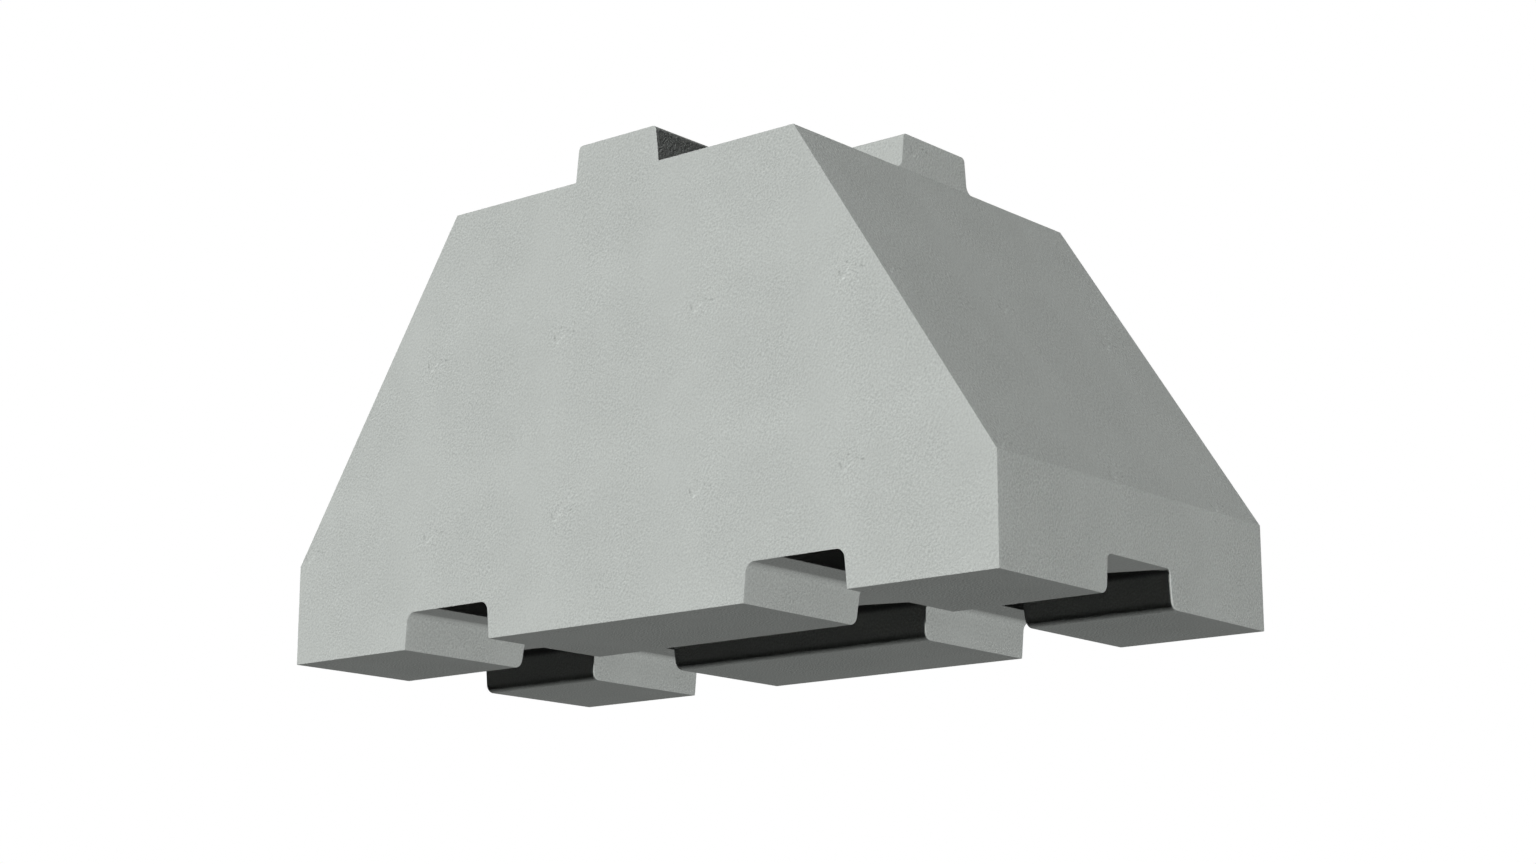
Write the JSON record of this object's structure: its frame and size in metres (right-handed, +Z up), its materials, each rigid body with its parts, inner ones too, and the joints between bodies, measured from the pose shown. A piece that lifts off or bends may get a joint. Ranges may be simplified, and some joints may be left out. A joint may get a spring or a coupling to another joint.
{
  "type": "interlocking concrete block",
  "caption": "Cast concrete wall block with raked ends, crossed ridges on its top and matching crossed channels through its underside.",
  "frame": {"origin": "middle of the underside, on the plane of the six feet", "axes": "+X along the wall, +Y across the wall from front face to back face, +Z up"},
  "size_m": [1.2, 0.6, 0.65],
  "materials": {
    "concrete": "smooth cast concrete off a steel mould, matt, fine orange-peel skin with a few small air pits"
  },
  "bodies": {
    "root": {"block": "concrete"}
  },
  "joints": []
}
